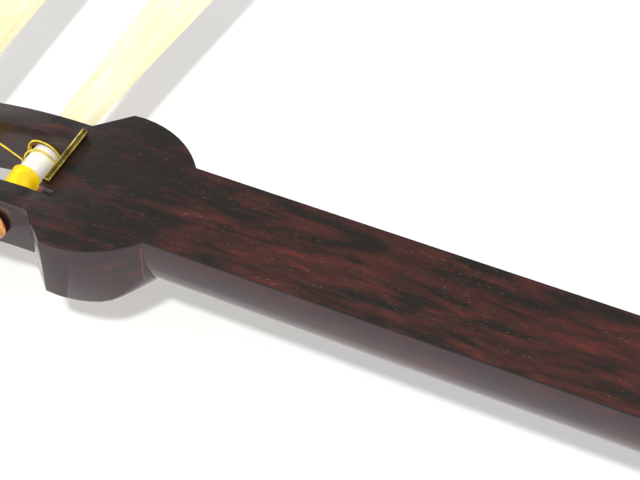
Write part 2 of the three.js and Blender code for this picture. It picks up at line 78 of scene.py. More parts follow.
def add_camera():
    """A long lens that looks down at the lobes, from the near side and somewhat from the body's."""
    data = bpy.data.cameras.new("camera")
    data.lens = LENS
    data.sensor_width = 36
    data.clip_start = 0.01
    data.clip_end = 20
    camera = bpy.data.objects.new("camera", data)
    bpy.context.scene.collection.objects.link(camera)
    back = (place(*CAMERA_PLACE) - place(*CAMERA_TARGET)).normalized()
    right = UP.cross(back).normalized()
    turned = Matrix((right, back.cross(right), back)).transposed() @ Matrix.Rotation(
        math.radians(CAMERA_ROLL), 3, "Z"
    )
    camera.matrix_world = Matrix.Translation(place(*CAMERA_PLACE)) @ turned.to_4x4()
    bpy.context.scene.camera = camera


add_camera()


# ---- mesh helpers ----
SHARP_ANGLE = 32  # degrees between two faces that meet in a real edge


def link(name, mesh):
    """A new object that shows a mesh."""
    obj = bpy.data.objects.new(name, mesh)
    bpy.context.scene.collection.objects.link(obj)
    return obj


def smooth(obj, angle=SHARP_ANGLE):
    """Shades smooth across edges flatter than an angle, and sharp at the others."""
    mesh = obj.data
    bm = bmesh.new()
    bm.from_mesh(mesh)
    limit = math.radians(angle)
    for face in bm.faces:
        face.smooth = True
    for edge in bm.edges:
        edge.smooth = len(edge.link_faces) == 2 and edge.calc_face_angle(math.pi) < limit
    bm.to_mesh(mesh)
    bm.free()
    return obj


def bevel(obj, width):
    """Rounds an object's sharp edges, to a width in millimetres."""
    modifier = obj.modifiers.new("bevel", "BEVEL")
    modifier.width = width * MM
    modifier.segments = 3
    modifier.limit_method = "ANGLE"
    modifier.angle_limit = math.radians(SHARP_ANGLE)
    modifier.use_clamp_overlap = True
    depsgraph = bpy.context.evaluated_depsgraph_get()
    mesh = bpy.data.meshes.new_from_object(obj.evaluated_get(depsgraph))
    obj.modifiers.clear()
    obj.data = mesh


def from_cad(node, width):
    """A finer copy of a CAD node: its flat facets merged and its sharp edges rounded."""
    mesh = frame["nodes"][node].data.copy()
    mesh.materials.clear()
    obj = link(f"{node}_fine", mesh)
    bm = bmesh.new()
    bm.from_mesh(mesh)
    bmesh.ops.remove_doubles(bm, verts=bm.verts, dist=2e-6)
    bmesh.ops.dissolve_limit(bm, angle_limit=math.radians(1), verts=bm.verts, edges=bm.edges)
    bm.to_mesh(mesh)
    bm.free()
    bevel(obj, width)
    return smooth(obj)


def rings_mesh(name, rings, closed=False):
    """A mesh through rings of points in row metres: a tube, capped at its ends or closed on itself."""
    count = len(rings[0])
    points = [tuple(p) for ring in rings for p in ring]
    faces = []
    last = len(rings) if closed else len(rings) - 1
    for r in range(last):
        a = r * count
        b = ((r + 1) % len(rings)) * count
        for i in range(count):
            j = (i + 1) % count
            faces.append((a + i, a + j, b + j, b + i))
    if not closed:
        faces.append(tuple(reversed(range(count))))
        faces.append(tuple(range((len(rings) - 1) * count, len(rings) * count)))
    mesh = bpy.data.meshes.new(name)
    mesh.from_pydata(points, [], faces)
    bm = bmesh.new()
    bm.from_mesh(mesh)
    bmesh.ops.recalc_face_normals(bm, faces=bm.faces)
    if bm.calc_volume(signed=True) < 0:
        bmesh.ops.reverse_faces(bm, faces=bm.faces)
    bm.to_mesh(mesh)
    bm.free()
    return link(name, mesh)


def join_meshes(name, objects):
    """One object from several."""
    joined = bmesh.new()
    for obj in objects:
        joined.from_mesh(obj.data)
        bpy.data.objects.remove(obj)
    mesh = bpy.data.meshes.new(name)
    joined.to_mesh(mesh)
    joined.free()
    return link(name, mesh)


def finish_piece(obj, body, slot, material, *nodes):
    """Gives a piece its material and its body, and hides the CAD nodes it stands for. The slot is not used.
    """
    obj.data.materials.clear()
    obj.data.materials.append(material)
    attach(obj, body)
    if nodes:
        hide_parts(*nodes)


# ---- material helpers ----
class Nodes:
    """Short calls that add shader nodes to one material."""

    def __init__(self, name):
        self.material = bpy.data.materials.new(name)
        self.material.use_nodes = True
        self.tree = self.material.node_tree
        self.tree.nodes.clear()
        output = self.tree.nodes.new("ShaderNodeOutputMaterial")
        self.shader = self.tree.nodes.new("ShaderNodeBsdfPrincipled")
        self.tree.links.new(self.shader.outputs[0], output.inputs[0])

    def add(self, kind, inputs=None, **settings):
        """One more shader node, with its inputs as numbers, sockets or nodes."""
        node = self.tree.nodes.new(f"ShaderNode{kind}")
        for key, value in settings.items():
            setattr(node, key, value)
        for key, value in (inputs or {}).items():
            self.put(value, node.inputs[key])
        return node

    def put(self, value, socket):
        """A value, or a link from a socket or a node's first output, on an input."""
        if isinstance(value, bpy.types.NodeSocket):
            self.tree.links.new(value, socket)
        elif isinstance(value, bpy.types.Node):
            self.tree.links.new(value.outputs[0], socket)
        else:
            socket.default_value = value

    def set(self, **values):
        """Inputs of the shader, with an underscore for each space in their names."""
        for key, value in values.items():
            self.put(value, self.shader.inputs[key.replace("_", " ")])

    def space(self, scale=(1, 1, 1), start=(0, 0, 0)):
        """The instrument's own millimetres, scaled and shifted."""
        level = self.add(
            "Mapping",
            {
                "Vector": self.add("TexCoord").outputs["Object"],
                "Location": TO_INSTRUMENT.translation / MM,
                "Rotation": TO_INSTRUMENT.to_euler(),
                "Scale": (1 / MM, 1 / MM, 1 / MM),
            },
        )
        return self.add("Mapping", {"Vector": level, "Scale": scale, "Location": start})

    def axes(self):
        """The instrument's x, y and z in millimetres, as three sockets."""
        split = self.add("SeparateXYZ", {"Vector": self.space()})
        return split.outputs["X"], split.outputs["Y"], split.outputs["Z"]

    def facing(self, direction):
        """How far a surface faces a direction of the row's frame at rest, from -1 to 1."""
        node = self.add("VectorMath", operation="DOT_PRODUCT")
        self.put(self.add("TexCoord").outputs["Normal"], node.inputs[0])
        self.put(direction, node.inputs[1])
        return node.outputs["Value"]

    def noise(self, vector, scale, detail=3.0, rough=0.5, distortion=0.0):
        """Soft noise about 0.5."""
        inputs = {"Vector": vector, "Scale": scale, "Detail": detail}
        inputs |= {"Roughness": rough, "Distortion": distortion}
        return self.add("TexNoise", inputs).outputs["Fac"]

    def ramp(self, value, stops):
        """A colour between stops of a position and a colour."""
        node = self.add("ValToRGB", {"Fac": value})
        elements = node.color_ramp.elements
        while len(elements) < len(stops):
            elements.new(0.5)
        for element, (position, colour) in zip(elements, stops):
            element.position = position
            element.color = (*colour, 1)
        return node.outputs["Color"]

    def fade(self, value, low, high, to_low=0.0, to_high=1.0):
        """A soft step from one number to another."""
        inputs = {"Value": value, "From Min": low, "From Max": high, "To Min": to_low, "To Max": to_high}
        node = self.add("MapRange", inputs)
        node.interpolation_type = "SMOOTHSTEP"
        return node.outputs["Result"]

    def math(self, operation, a, b=0.0):
        """A sum of one or two numbers or sockets."""
        node = self.add("Math", operation=operation)
        self.put(a, node.inputs[0])
        self.put(b, node.inputs[1])
        return node.outputs[0]

    def mix(self, factor, a, b):
        """A colour between two, each a tuple or a socket."""
        node = self.add("Mix", data_type="RGBA")
        self.put(factor, node.inputs["Factor"])
        for socket, colour in ((6, a), (7, b)):
            self.put((*colour, 1) if isinstance(colour, tuple) else colour, node.inputs[socket])
        return node.outputs[2]

    def bump(self, height, strength, distance):
        """The normal of a surface with a relief."""
        inputs = {"Height": height, "Strength": strength, "Distance": distance}
        return self.add("Bump", inputs).outputs["Normal"]


def linear(red, green, blue):
    """An sRGB colour of 0 to 255 as linear numbers."""
    parts = [channel / 255 for channel in (red, green, blue)]
    return tuple(c / 12.92 if c <= 0.04045 else ((c + 0.055) / 1.055) ** 2.4 for c in parts)


# ---- materials ----
PORE = linear(164, 136, 106)
SEAM = linear(124, 62, 50)
# painted reflection: the purple-grey that the polished sides mirror, put into their colour
PAINTED_SIDE_REFLECTION = linear(40, 18, 27)
NUT_JOINT = -0.3  # where the pegbox's face meets the lobes'
LOBE_END = 33.4  # where the lobes meet the neck
LOBE_CENTRE_X = 11.4  # each lobe's edge is an arc
LOBE_CENTRE_Y = -1.4
LOBE_RADIUS = 27.6
VALLEY_X = -1.7  # the first string's groove beside the nut
VALLEY_Y = -9.2
NECK_HALF_WIDTH = 15
NECK_WIDENING = 0.003  # half width gained along the neck
SLOT_HALF_WIDTH = 10.3  # of the pegbox's opening
HANDLE_START = 20.4  # where the pegs' handles begin, across the neck


def wood_figure(n, x, fibres, red, start):
    """Soft red patches drawn out along the grain, with near-black wood and dark stripes between them."""
    patches = n.noise(n.space((0.036, 0.16, 0.16), start), 1.0, detail=4, rough=0.6, distortion=0.9)
    blobs = n.noise(n.space((0.09, 0.3, 0.3), start), 1.0, detail=4, rough=0.6, distortion=0.6)
    bands = n.noise(n.space((0.02, 0.5, 0.5), start), 1.0, detail=5, rough=0.62, distortion=0.4)
    mixed = n.math("ADD", n.math("MULTIPLY", patches, 0.54), n.math("MULTIPLY", bands, 0.12))
    mixed = n.math("ADD", mixed, n.math("MULTIPLY", blobs, 0.34))
    mixed = n.math("ADD", mixed, n.fade(n.math("ABSOLUTE", x), 10, 70, -0.05, 0.0))
    mixed = n.math("ADD", mixed, n.math("MULTIPLY", n.math("SUBTRACT", fibres, 0.5), 0.2))
    dull_red = tuple(int(a * 0.6 + b * 0.4) for a, b in zip((38, 24, 19), red))
    bright_red = tuple(int(channel * 1.15) for channel in red)
    stops = [(0.0, linear(16, 15, 12)), (0.43, linear(23, 19, 15)), (0.55, linear(*dull_red))]
    stops += [(0.68, linear(*red)), (1.0, linear(*bright_red))]
    stripe = n.fade(n.noise(n.space((0.026, 0.8, 0.8), start), 1.0, detail=3), 0.5, 0.66)
    return n.mix(n.math("MULTIPLY", stripe, 0.32), n.ramp(mixed, stops), linear(24, 15, 13))


def painted_edge_shade(n, x, across, z):
    """Where the painted shade along the edges of the neck's and the lobes' face is: a dark line that stands
    in for the shaded chamfer.
    """
    from_middle = n.math("SUBTRACT", across, n.math("MULTIPLY", x, NECK_WIDENING))
    neck_edge = n.fade(from_middle, NECK_HALF_WIDTH - 0.5, NECK_HALF_WIDTH - 0.35)
    neck_edge = n.math("MULTIPLY", neck_edge, n.fade(x, LOBE_END - 0.5, LOBE_END))
    arc_x = n.math("SUBTRACT", x, LOBE_CENTRE_X)
    arc_y = n.math("SUBTRACT", across, LOBE_CENTRE_Y)
    from_centre = n.add("VectorMath", operation="LENGTH")
    n.put(n.add("CombineXYZ", {"X": arc_x, "Y": arc_y}), from_centre.inputs[0])
    lobe_edge = n.fade(from_centre.outputs["Value"], LOBE_RADIUS - 0.4, LOBE_RADIUS - 0.25)
    lobe_edge = n.math("MULTIPLY", lobe_edge, n.fade(x, LOBE_END - 0.5, LOBE_END, 1.0, 0.0))
    return n.math("MULTIPLY", n.math("MAXIMUM", neck_edge, lobe_edge), n.fade(z, -0.5, -0.35))


def string_groove(n, x, y, z):
    """Where the dark red patch on the groove beside the nut is."""
    groove = n.fade(n.math("ABSOLUTE", n.math("SUBTRACT", y, VALLEY_Y)), 1.15, 1.3, 1.0, 0.0)
    reach = n.fade(n.math("ABSOLUTE", n.math("SUBTRACT", x, VALLEY_X)), 1.3, 1.5, 1.0, 0.0)
    groove = n.math("MULTIPLY", groove, reach)
    groove = n.math("MULTIPLY", groove, n.fade(z, -0.12, -0.04, 1.0, 0.0))
    return n.math("MULTIPLY", groove, n.fade(z, -3, -2, 0.0, 0.8))


def rosewood(name, red, figure_start=(0, 0, 0)):
    """Near-black rosewood, satin on the face and polished on the sides, with fine pale pores, a painted
    purple-grey reflection on the sides and a painted shade along the face's edges.
    """
    n = Nodes(name)
    x, y, z = n.axes()
    across = n.math("ABSOLUTE", y)
    fibres = n.noise(n.space((0.14, 2.8, 2.8)), 1.0, detail=4, rough=0.7)
    colour = wood_figure(n, x, fibres, red, figure_start)
    upward = n.facing(UP)
    head_top = n.math("MULTIPLY", n.fade(upward, 0.45, 0.65), n.fade(x, -1.2, -0.5, 1.0, 0.0))
    top = n.math("MAXIMUM", n.fade(upward, 0.9, 0.985), head_top)

    clusters = n.fade(n.noise(n.space((0.03, 0.4, 0.4)), 1.0, detail=2), 0.42, 0.62)
    specks = n.fade(n.noise(n.space((0.5, 6.4, 6.4)), 1.0, detail=2, rough=0.5), 0.66, 0.735)
    pores = n.math("MULTIPLY", specks, clusters)
    shown = n.math("MULTIPLY", pores, n.fade(top, 0, 1, 0.1, 0.7))
    colour = n.mix(shown, colour, PORE)
    # painted reflection: the sides, not the face, take the purple-grey colour that they mirror
    colour = n.mix(n.fade(top, 0, 1, 0.55, 0.0), colour, PAINTED_SIDE_REFLECTION)
    joint = n.fade(n.math("ABSOLUTE", n.math("SUBTRACT", x, NUT_JOINT)), 0.1, 0.32, 0.75, 0.0)
    colour = n.mix(n.math("MULTIPLY", joint, top), colour, linear(12, 8, 8))
    # painted shade: a near-black line along the face's edges, where the chamfer shows dark
    edge = painted_edge_shade(n, x, across, z)
    colour = n.mix(n.math("MULTIPLY", edge, 0.9), colour, linear(8, 5, 5))
    seam = n.fade(n.math("ABSOLUTE", n.math("SUBTRACT", x, LOBE_END - 0.2)), 0.04, 0.15, 0.5, 0.0)
    seam = n.math("MULTIPLY", seam, n.fade(z, -2.6, -1.6, 1.0, 0.0))
    colour = n.mix(seam, colour, SEAM)
    colour = n.mix(string_groove(n, x, y, z), colour, linear(112, 42, 42))

    inside = n.fade(across, SLOT_HALF_WIDTH + 0.2, SLOT_HALF_WIDTH + 0.6, 1.0, 0.0)
    inside = n.math("MULTIPLY", inside, n.fade(x, -1, 1, 1.0, 0.0))
    polish = n.math("ADD", n.fade(fibres, 0.3, 0.7, 0.09, 0.15), n.math("MULTIPLY", inside, 0.26))
    satin = n.fade(fibres, 0.3, 0.7, 0.36, 0.46)
    rough = n.math("MULTIPLY", polish, n.math("SUBTRACT", 1, top))
    rough = n.math("ADD", n.math("MULTIPLY", satin, top), rough)
    rough = n.math("ADD", rough, n.math("MULTIPLY", edge, 0.2))
    height = n.math("SUBTRACT", n.math("MULTIPLY", fibres, 0.3), pores)
    height = n.math("MULTIPLY", height, n.fade(top, 0, 1, 0.12, 1.0))
    n.set(Base_Color=colour, Roughness=rough, Normal=n.bump(height, 0.3, 0.00006))
    n.shader.inputs["IOR"].default_value = 1.5
    return n.material


def karin():
    """Red-brown quince wood under lacquer, with a rippling figure."""
    n = Nodes("karin_lacquered")
    grain = n.noise(n.space((0.02, 0.3, 0.3)), 1.0, detail=5, rough=0.6, distortion=0.6)
    ripple = n.noise(n.space((0.11, 0.02, 0.02)), 1.0, detail=3, distortion=1.2)
    colour = n.ramp(
        grain,
        [(0.25, linear(62, 24, 12)), (0.5, linear(104, 46, 22)), (0.75, linear(146, 72, 36))],
    )
    colour = n.mix(n.math("MULTIPLY", n.fade(ripple, 0.4, 0.7), 0.35), colour, linear(168, 92, 48))
    pores = n.fade(n.noise(n.space((0.3, 3.2, 3.2)), 1.0, detail=1), 0.66, 0.72)
    colour = n.mix(n.math("MULTIPLY", pores, 0.6), colour, linear(38, 14, 8))
    rough = n.fade(grain, 0.3, 0.7, 0.16, 0.28)
    n.set(Base_Color=colour, Roughness=rough, Normal=n.bump(pores, 0.08, -0.00005))
    n.shader.inputs["Coat Weight"].default_value = 0.6
    n.shader.inputs["Coat Roughness"].default_value = 0.06
    return n.material


def ivory():
    """Cream imitation ivory with faint lengthwise streaks."""
    n = Nodes("ivory_cream")
    streak = n.noise(n.space((0.5, 0.035, 0.5)), 1.0, detail=4, rough=0.55, distortion=0.2)
    cloud = n.noise(n.space((0.08, 0.05, 0.08)), 1.0, detail=2)
    colour = n.ramp(
        streak,
        [(0.3, linear(242, 226, 168)), (0.5, linear(248, 238, 196)), (0.7, linear(252, 246, 216))],
    )
    colour = n.mix(n.math("MULTIPLY", n.fade(cloud, 0.45, 0.7), 0.35), colour, linear(238, 220, 158))
    across = n.math("ABSOLUTE", n.axes()[1])
    colour = n.mix(n.fade(across, SLOT_HALF_WIDTH, HANDLE_START, 0.85, 0.0), colour, linear(255, 251, 242))
    scuffs = n.noise(n.space((2.2, 0.3, 2.2)), 1.0, detail=4)
    rough = n.fade(scuffs, 0.3, 0.7, 0.2, 0.34)
    n.set(Base_Color=colour, Roughness=rough, Normal=n.bump(scuffs, 0.05, 0.00004))
    n.shader.inputs["Subsurface Weight"].default_value = 0.25
    n.shader.inputs["Subsurface Radius"].default_value = (0.004, 0.003, 0.0015)
    n.shader.inputs["Subsurface Scale"].default_value = 1.0
    return n.material


def metal(name, light, dark, rough_low, rough_high, scale):
    """Turned or drawn metal with a tarnish that varies over it and fine scratches."""
    n = Nodes(name)
    cloud = n.noise(n.space((scale, scale, scale)), 0.35, detail=5, rough=0.6)
    scratch = n.noise(n.space((scale * 2, scale * 9, scale * 9)), 1.0, detail=2)
    colour = n.mix(n.fade(cloud, 0.35, 0.7), light, dark)
    rough = n.math("ADD", n.fade(cloud, 0.3, 0.7, rough_low, rough_high), n.math("MULTIPLY", scratch, 0.06))
    n.set(Base_Color=colour, Roughness=rough, Normal=n.bump(scratch, 0.12, 0.00003))
    n.shader.inputs["Metallic"].default_value = 1.0
    return n.material


def silk(name, bright, deep):
    """Yellow waxed silk: bright, with random patches of a darker gold."""
    n = Nodes(name)
    ply = n.noise(n.space((5, 5, 5)), 1.0, detail=2)
    patch = n.noise(n.space((0.35, 0.35, 0.35)), 1.0, detail=2)
    colour = n.mix(n.fade(patch, 0.35, 0.65), bright, deep)
    n.set(Base_Color=colour, Roughness=n.fade(ply, 0.3, 0.7, 0.42, 0.56), Normal=n.bump(ply, 0.3, 0.00008))
    n.shader.inputs["Subsurface Weight"].default_value = 0.12
    n.shader.inputs["Subsurface Radius"].default_value = (0.0006, 0.0004, 0.0001)
    n.shader.inputs["Subsurface Scale"].default_value = 1.0
    return n.material


def stretched_skin():
    """Cream skin with pores, faint veins and a slightly waxy surface."""
    n = Nodes("stretched_skin")
    cloud = n.noise(n.space((0.02, 0.02, 0.02)), 1.0, detail=6, rough=0.6)
    spots = n.add("TexVoronoi", {"Vector": n.space((0.9, 0.9, 0.9)), "Scale": 1.0})
    pores = n.fade(spots.outputs["Distance"], 0.08, 0.3)
    colour = n.ramp(
        cloud,
        [(0.3, linear(186, 168, 130)), (0.5, linear(206, 192, 160)), (0.7, linear(214, 204, 178))],
    )
    colour = n.mix(n.math("MULTIPLY", n.math("SUBTRACT", 1.0, pores), 0.25), colour, linear(150, 124, 86))
    rough = n.fade(cloud, 0.3, 0.7, 0.42, 0.56)
    n.set(Base_Color=colour, Roughness=rough, Normal=n.bump(pores, 0.12, 0.00008))
    n.shader.inputs["Subsurface Weight"].default_value = 0.1
    n.shader.inputs["Subsurface Radius"].default_value = (0.002, 0.0014, 0.0008)
    n.shader.inputs["Subsurface Scale"].default_value = 1.0
    return n.material


def woven(name, ground, thread, pitch=0.7):
    """A brocade: a fine over-and-under weave with a lattice of lozenges in metal thread."""
    n = Nodes(name)
    x, y, z = n.axes()
    z = n.math("ADD", y, z)  # so that the pattern runs on round the edge from the side to the lip
    turn = math.tau / pitch
    warp = n.math("SINE", n.math("MULTIPLY", x, turn))
    weft = n.math("SINE", n.math("MULTIPLY", z, turn))
    weave = n.math("MULTIPLY", warp, weft)
    lozenge = 16.0
    a = n.math("PINGPONG", n.math("ADD", x, z), lozenge / 2)
    b = n.math("PINGPONG", n.math("SUBTRACT", x, z), lozenge / 2)
    line = n.math("MINIMUM", a, b)
    lattice = n.math("SUBTRACT", 1.0, n.fade(line, 0.5, 0.9))
    heart = n.fade(n.math("ADD", a, b), 12.4, 12.9)
    drawn = n.math("MAXIMUM", lattice, heart)
    colour = n.mix(n.fade(weave, -0.6, 0.6), tuple(c * 0.55 for c in ground), ground)
    gold = n.mix(n.fade(weave, -0.4, 0.5), tuple(c * 0.5 for c in thread), thread)
    colour = n.mix(drawn, colour, gold)
    n.set(
        Base_Color=colour,
        Roughness=n.fade(drawn, 0.0, 1.0, 0.75, 0.42),
        Normal=n.bump(n.math("ADD", weave, n.math("MULTIPLY", drawn, 1.5)), 0.5, 0.00012),
    )
    n.shader.inputs["Sheen Weight"].default_value = 0.3
    return n.material


def braid(name, dark, light):
    """Silk cord: fine fibres in two shades, with a soft sheen."""
    n = Nodes(name)
    fibres = n.noise(n.space((3, 3, 3)), 1.0, detail=3)
    colour = n.mix(n.fade(fibres, 0.35, 0.65), dark, light)
    rough = n.fade(fibres, 0.3, 0.7, 0.5, 0.7)
    n.set(Base_Color=colour, Roughness=rough, Normal=n.bump(fibres, 0.35, 0.0001))
    n.shader.inputs["Sheen Weight"].default_value = 0.35
    return n.material


ROSEWOOD = rosewood("rosewood_upper", (88, 35, 30))
ROSEWOOD_MIDDLE = rosewood("rosewood_middle", (86, 35, 30), (3.7, 1.2, 0))
ROSEWOOD_LOWER = rosewood("rosewood_lower", (86, 35, 30), (8.1, 2.9, 0))
KARIN = karin()
IVORY = ivory()
GILT = metal("gilt_brass", linear(188, 166, 84), linear(116, 98, 44), 0.14, 0.24, 1.0)
COPPER = metal("coppery_brass", linear(208, 150, 88), linear(138, 88, 46), 0.18, 0.34, 0.8)
SILK = silk("yellow_silk_string", linear(255, 226, 0), linear(246, 196, 0))
SLACK_SILK = silk("slack_silk_string", linear(226, 204, 60), linear(188, 158, 30))
SKIN = stretched_skin()
BROCADE = woven("indigo_brocade", linear(44, 38, 86), linear(196, 158, 82))
BRAID = braid("purple_braid", linear(74, 24, 84), linear(122, 52, 132))
PIPING_SILK = braid("gold_piping", linear(150, 110, 40), linear(206, 164, 78))
WHIPPING_SILK = braid("orange_whipping", linear(176, 84, 22), linear(224, 130, 44))

# ---- wood ----
finish_piece(from_cad("upper_neck", 0.2), "upper_neck", "rosewood", ROSEWOOD, "upper_neck")
finish_piece(from_cad("head_finial", 0.5), "upper_neck", "rosewood", ROSEWOOD, "head_finial")
finish_piece(from_cad("middle_neck", 0.3), "middle_neck", "rosewood", ROSEWOOD_MIDDLE, "middle_neck")
finish_piece(from_cad("lower_neck", 0.3), "lower_neck", "rosewood", ROSEWOOD_LOWER, "lower_neck")
for panel in ("panel_head", "panel_tail", "panel_near", "panel_far"):
    finish_piece(from_cad(panel, 0.3), "sound_box", "karin_wood", KARIN, panel)
for skin in ("front_skin", "back_skin"):
    finish_piece(from_cad(skin, 0.3), "sound_box", "skin", SKIN, skin)
finish_piece(from_cad("mortise_liner_upper", 0.2), "middle_neck", "gilt_brass", GILT, "mortise_liner_upper")
finish_piece(from_cad("mortise_liner_lower", 0.2), "lower_neck", "gilt_brass", GILT, "mortise_liner_lower")


# ---- nut ----
NUT_FROM = -7.2
NUT_TO = 13.8
NUT_RADIUS = 1.12
NUT_HEIGHT = 1.12  # its axis above the fingerboard


def nut_bar():
    """A round gilt bar with a flat underside and softly rounded ends."""
    rings = []
    rounding = [(0, 0.8), (0.08, 0.92), (0.2, 0.98), (0.4, 1)]
    length = NUT_TO - NUT_FROM
    rounding += [(length - distance, share) for distance, share in reversed(rounding)]
    for distance, share in rounding:
        ring = []
        for i in range(40):
            angle = math.tau * i / 40
            x = NUT_RADIUS * share * math.cos(angle)
            z = NUT_HEIGHT + NUT_RADIUS * share * math.sin(angle)
            ring.append(place(x, NUT_FROM + distance, max(z, 0.06)))
        rings.append(ring)
    return smooth(rings_mesh("nut_bar", rings), 40)


finish_piece(nut_bar(), "upper_neck", "gilt_brass", GILT, "nut")

# ---- pegs ----
GAP = 0.3  # between a shaft and what is round it
SHAFT_RADIUS = 3.6  # at the pegbox's middle
SHAFT_TAPER = 0.03  # radius gained towards the handle
SHAFT_TIP = 21.5
HANDLE_LENGTH = 112
HANDLE_HALF_WIDTH = 4.15  # across the flats where it begins
COLLAR = 1.5  # length of its round collar
EASED_CORNER = 1.128  # the corners between the flats, against half their width
DOME = 8
FERRULE_FROM = 10.9  # the ferrules' inner ends, across from the pegbox's middle
RIM_AT = 18.2  # and where their rims stand on its walls
# each ferrule's side of the pegbox, and the radius of its tube and of its rim
FERRULES = {"handle": (1, 5.1, 6.6), "tip": (-1, 4.3, 5.5)}
SIDES = 6
JOINTS = {joint["name"]: joint for joint in frame["record"]["behaviour"]["joints"]}


def shaft_radius(y):
    return SHAFT_RADIUS + SHAFT_TAPER * y


class PegFrame:
    """Positions about one peg: y along its axis towards the handle, measured from the pegbox's middle."""

    def __init__(self, name):
        joint = JOINTS[f"{name}_peg_turn"]
        self.name = name
        self.centre = Vector(joint["pos_m"])
        self.axis = Vector(joint["axis"]).normalized()
        self.across = self.axis.cross(UP).normalized()
        self.third = self.across.cross(self.axis)

    def at(self, radius, y, angle):
        """A point at a distance from the axis, in row metres."""
        side = self.across * math.cos(angle) + self.third * math.sin(angle)
        return self.centre + self.axis * (y * MM) + side * (radius * MM)

    def ring(self, y, radius, count):
        """A ring of points whose radius is a number or a function of the angle."""
        size = radius if callable(radius) else (lambda angle: radius)
        return [self.at(size(math.tau * i / count), y, math.tau * i / count) for i in range(count)]

    def turned(self, name, profile, count, closed=False):
        """A turned shape from a profile of radii and distances along the axis."""
        return rings_mesh(name, [self.ring(y, r, count) for r, y in profile], closed=closed)


def handle_half_width(distance):
    """Half the handle's width across its flats: it flares, then domes over."""
    half = HANDLE_HALF_WIDTH + 0.024 * distance + 0.00015 * distance**2
    over = max(0.0, (distance - (HANDLE_LENGTH - DOME)) / DOME)
    return half * max(0.0, 1 - over**2.6) ** 0.45


def handle_radius(distance):
    """The handle's radius as a function of the angle: round at the collar, then six-sided."""
    faceting = ease(min(1.0, max(0.0, (distance - COLLAR) / 11)))
    half = handle_half_width(distance)

    def radius(angle):
        from_flat = (angle + math.pi / SIDES) % (math.tau / SIDES) - math.pi / SIDES
        corner = min(1 / math.cos(from_flat), EASED_CORNER)
        return half * (1 + (corner - 1) * faceting)

    return radius


def peg_mesh(peg):
    """A tapered shaft, a collar and a long handle that flares to a dome."""
    profile = [(shaft_radius(-21) - 0.7, -SHAFT_TIP), (shaft_radius(-21) - 0.25, -SHAFT_TIP + 0.15)]
    profile += [(shaft_radius(-21), -SHAFT_TIP + 0.6), (shaft_radius(-10), -10), (shaft_radius(0), 0)]
    profile += [(shaft_radius(10), 10), (shaft_radius(19.8), 19.8)]
    count = 96
    rings = [peg.ring(y, r, count) for r, y in profile]
    collar = [(0.0, 3.95), (0.25, 4.15), (0.9, 4.25), (COLLAR, 4.18)]
    rings += [peg.ring(HANDLE_START + distance, r, count) for distance, r in collar]
    flared = HANDLE_LENGTH - DOME - COLLAR
    steps = 40
    distances = [COLLAR + flared * i / steps for i in range(1, steps + 1)]
    # the dome's last ring stops just short of its point
    distances += [HANDLE_LENGTH - DOME + DOME * math.sin(math.pi / 2 * i / 12.4) for i in range(1, 13)]
    rings += [peg.ring(HANDLE_START + distance, handle_radius(distance), count) for distance in distances]
    return smooth(rings_mesh(f"peg_{peg.name}_turned", rings), 30)


def ferrule_mesh(peg, end):
    """A flanged ferrule: its tube in the pegbox wall, and a domed rim outside it."""
    side, tube, rim = FERRULES[end]
    inner = shaft_radius(side * 19) + GAP
    profile = [(inner, FERRULE_FROM), (tube, FERRULE_FROM), (tube, RIM_AT)]
    profile += [(rim - 0.15, RIM_AT), (rim, RIM_AT + 0.18), (rim, RIM_AT + 0.5)]
    profile += [(rim - 0.22, RIM_AT + 0.85), (rim - 0.7, RIM_AT + 1.1), (tube - 0.1, RIM_AT + 1.3)]
    profile += [(tube - 0.25, RIM_AT + 1.45), (tube - 0.45, RIM_AT + 1.6)]
    profile += [(inner + 0.25, RIM_AT + 1.6), (inner + 0.05, RIM_AT + 1.4)]
    name = f"ferrule_{peg.name}_{end}_turned"
    return smooth(peg.turned(name, [(r, side * y) for r, y in profile], 72, closed=True), 30)


PEGS = {name: PegFrame(name) for name in ("first", "second", "third")}
for peg in PEGS.values():
    finish_piece(peg_mesh(peg), f"peg_{peg.name}", "ivory_white", IVORY, f"peg_{peg.name}")
    for end in FERRULES:
        finish_piece(ferrule_mesh(peg, end), "upper_neck", "copper", COPPER, f"ferrule_{peg.name}_{end}")

# ---- strings ----
STRING_RADIUS = 0.31
STRING_SIDES = 10


def tube_along(name, points, radius, sides=STRING_SIDES, twist=0.0, plies=0.0):
    """A tube along points in row metres, its section turned from each to the next as a laid string's is."""
    rings = []
    normal = None
    for i, point in enumerate(points):
        tangent = (points[min(i + 1, len(points) - 1)] - points[max(i - 1, 0)]).normalized()
        if normal is None:
            normal = tangent.orthogonal().normalized()
        normal = (normal - tangent * normal.dot(tangent)).normalized()
        other = tangent.cross(normal)
        ring = []
        for k in range(sides):
            angle = math.tau * k / sides
            r = radius * MM * (1 + plies * math.cos(2 * (angle - twist * i)))
            ring.append(point + normal * (r * math.cos(angle)) + other * (r * math.sin(angle)))
        rings.append(ring)
    return smooth(rings_mesh(name, rings), 60)


# where each winding lies along its peg, and how full it is over the shaft at its inner end
WINDINGS = {"first": (-9.7, 1.0, 0.6), "second": (-9.6, 3.5, 0.8), "third": (-9.6, 1.5, 0.7)}
THINNEST = 0.2  # and at its outer end


def winding_build(fullness, share):
    """How far a winding stands over the shaft at a share of its length: full a little before its end."""
    return THINNEST + (fullness - THINNEST) * min(1, share * 1.15)


def winding_core(peg, start, end, fullness):
    """The buried turns, as a sleeve up to the middle of the outermost ones."""
    steps = 12
    profile = [(shaft_radius(start) + GAP * 0.7, start + 0.1)]
    for i in range(steps + 1):
        t = i / steps
        y = start + 0.1 + (end - start - 0.3) * t
        profile.append((shaft_radius(y) + GAP + winding_build(fullness, t) - STRING_RADIUS, y))
    profile.append((shaft_radius(end) + GAP * 0.7, end - 0.2))
    return peg.turned(f"string_{peg.name}_core", profile, 48, closed=True)


